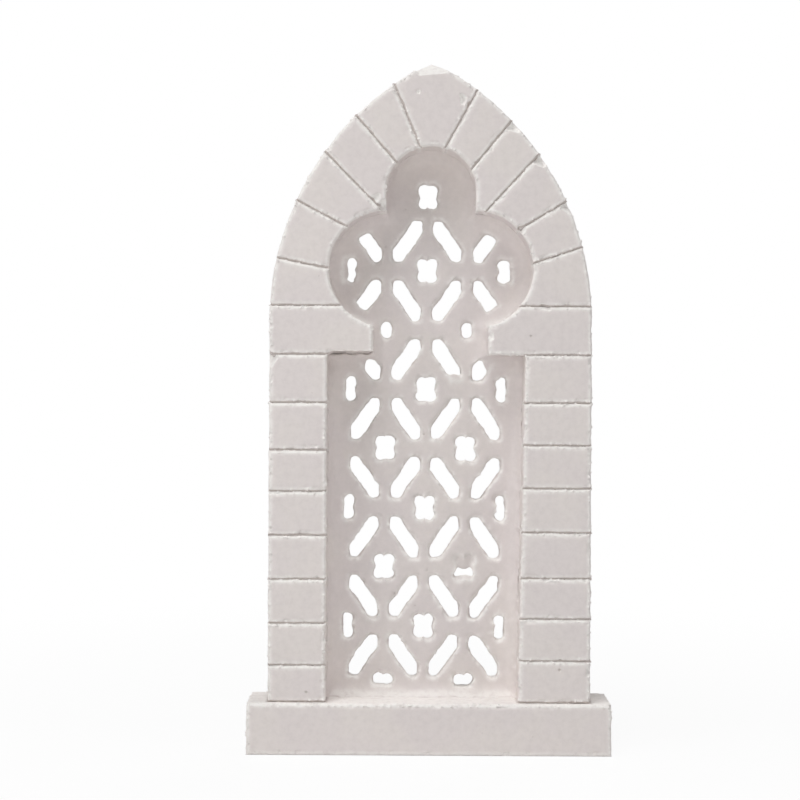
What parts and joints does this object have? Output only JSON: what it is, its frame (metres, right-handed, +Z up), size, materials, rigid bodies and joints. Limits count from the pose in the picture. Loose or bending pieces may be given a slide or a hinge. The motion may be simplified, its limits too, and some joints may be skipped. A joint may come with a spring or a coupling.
{
  "type": "arched top window frame, small plaster model",
  "caption": "Small plaster model of a pointed church window: block jambs, trefoil head, sill and a pierced lattice screen.",
  "frame": {"origin": "under the middle of the sill, on the level that it stands on", "axes": "+Z up, -Y out of the front, +X to the right as seen from the front"},
  "size_m": [0.0912, 0.0154, 0.1734],
  "materials": {
    "block_plaster": "matt off-white cast plaster",
    "screen_plaster": "matt off-white cast plaster"
  },
  "bodies": {
    "root": {"keystone": "block_plaster", "lattice_screen": "screen_plaster", "left_impost": "block_plaster", "left_jamb_block_1": "block_plaster", "left_jamb_block_2": "block_plaster", "left_jamb_block_3": "block_plaster", "left_jamb_block_4": "block_plaster", "left_jamb_block_5": "block_plaster", "left_jamb_block_6": "block_plaster", "left_jamb_block_7": "block_plaster", "left_jamb_block_8": "block_plaster", "left_voussoir_1": "block_plaster", "left_voussoir_2": "block_plaster", "left_voussoir_3": "block_plaster", "left_voussoir_4": "block_plaster", "left_voussoir_5": "block_plaster", "right_impost": "block_plaster", "right_jamb_block_1": "block_plaster", "right_jamb_block_2": "block_plaster", "right_jamb_block_3": "block_plaster", "right_jamb_block_4": "block_plaster", "right_jamb_block_5": "block_plaster", "right_jamb_block_6": "block_plaster", "right_jamb_block_7": "block_plaster", "right_jamb_block_8": "block_plaster", "right_voussoir_1": "block_plaster", "right_voussoir_2": "block_plaster", "right_voussoir_3": "block_plaster", "right_voussoir_4": "block_plaster", "right_voussoir_5": "block_plaster", "sill": "block_plaster"}
  },
  "joints": []
}
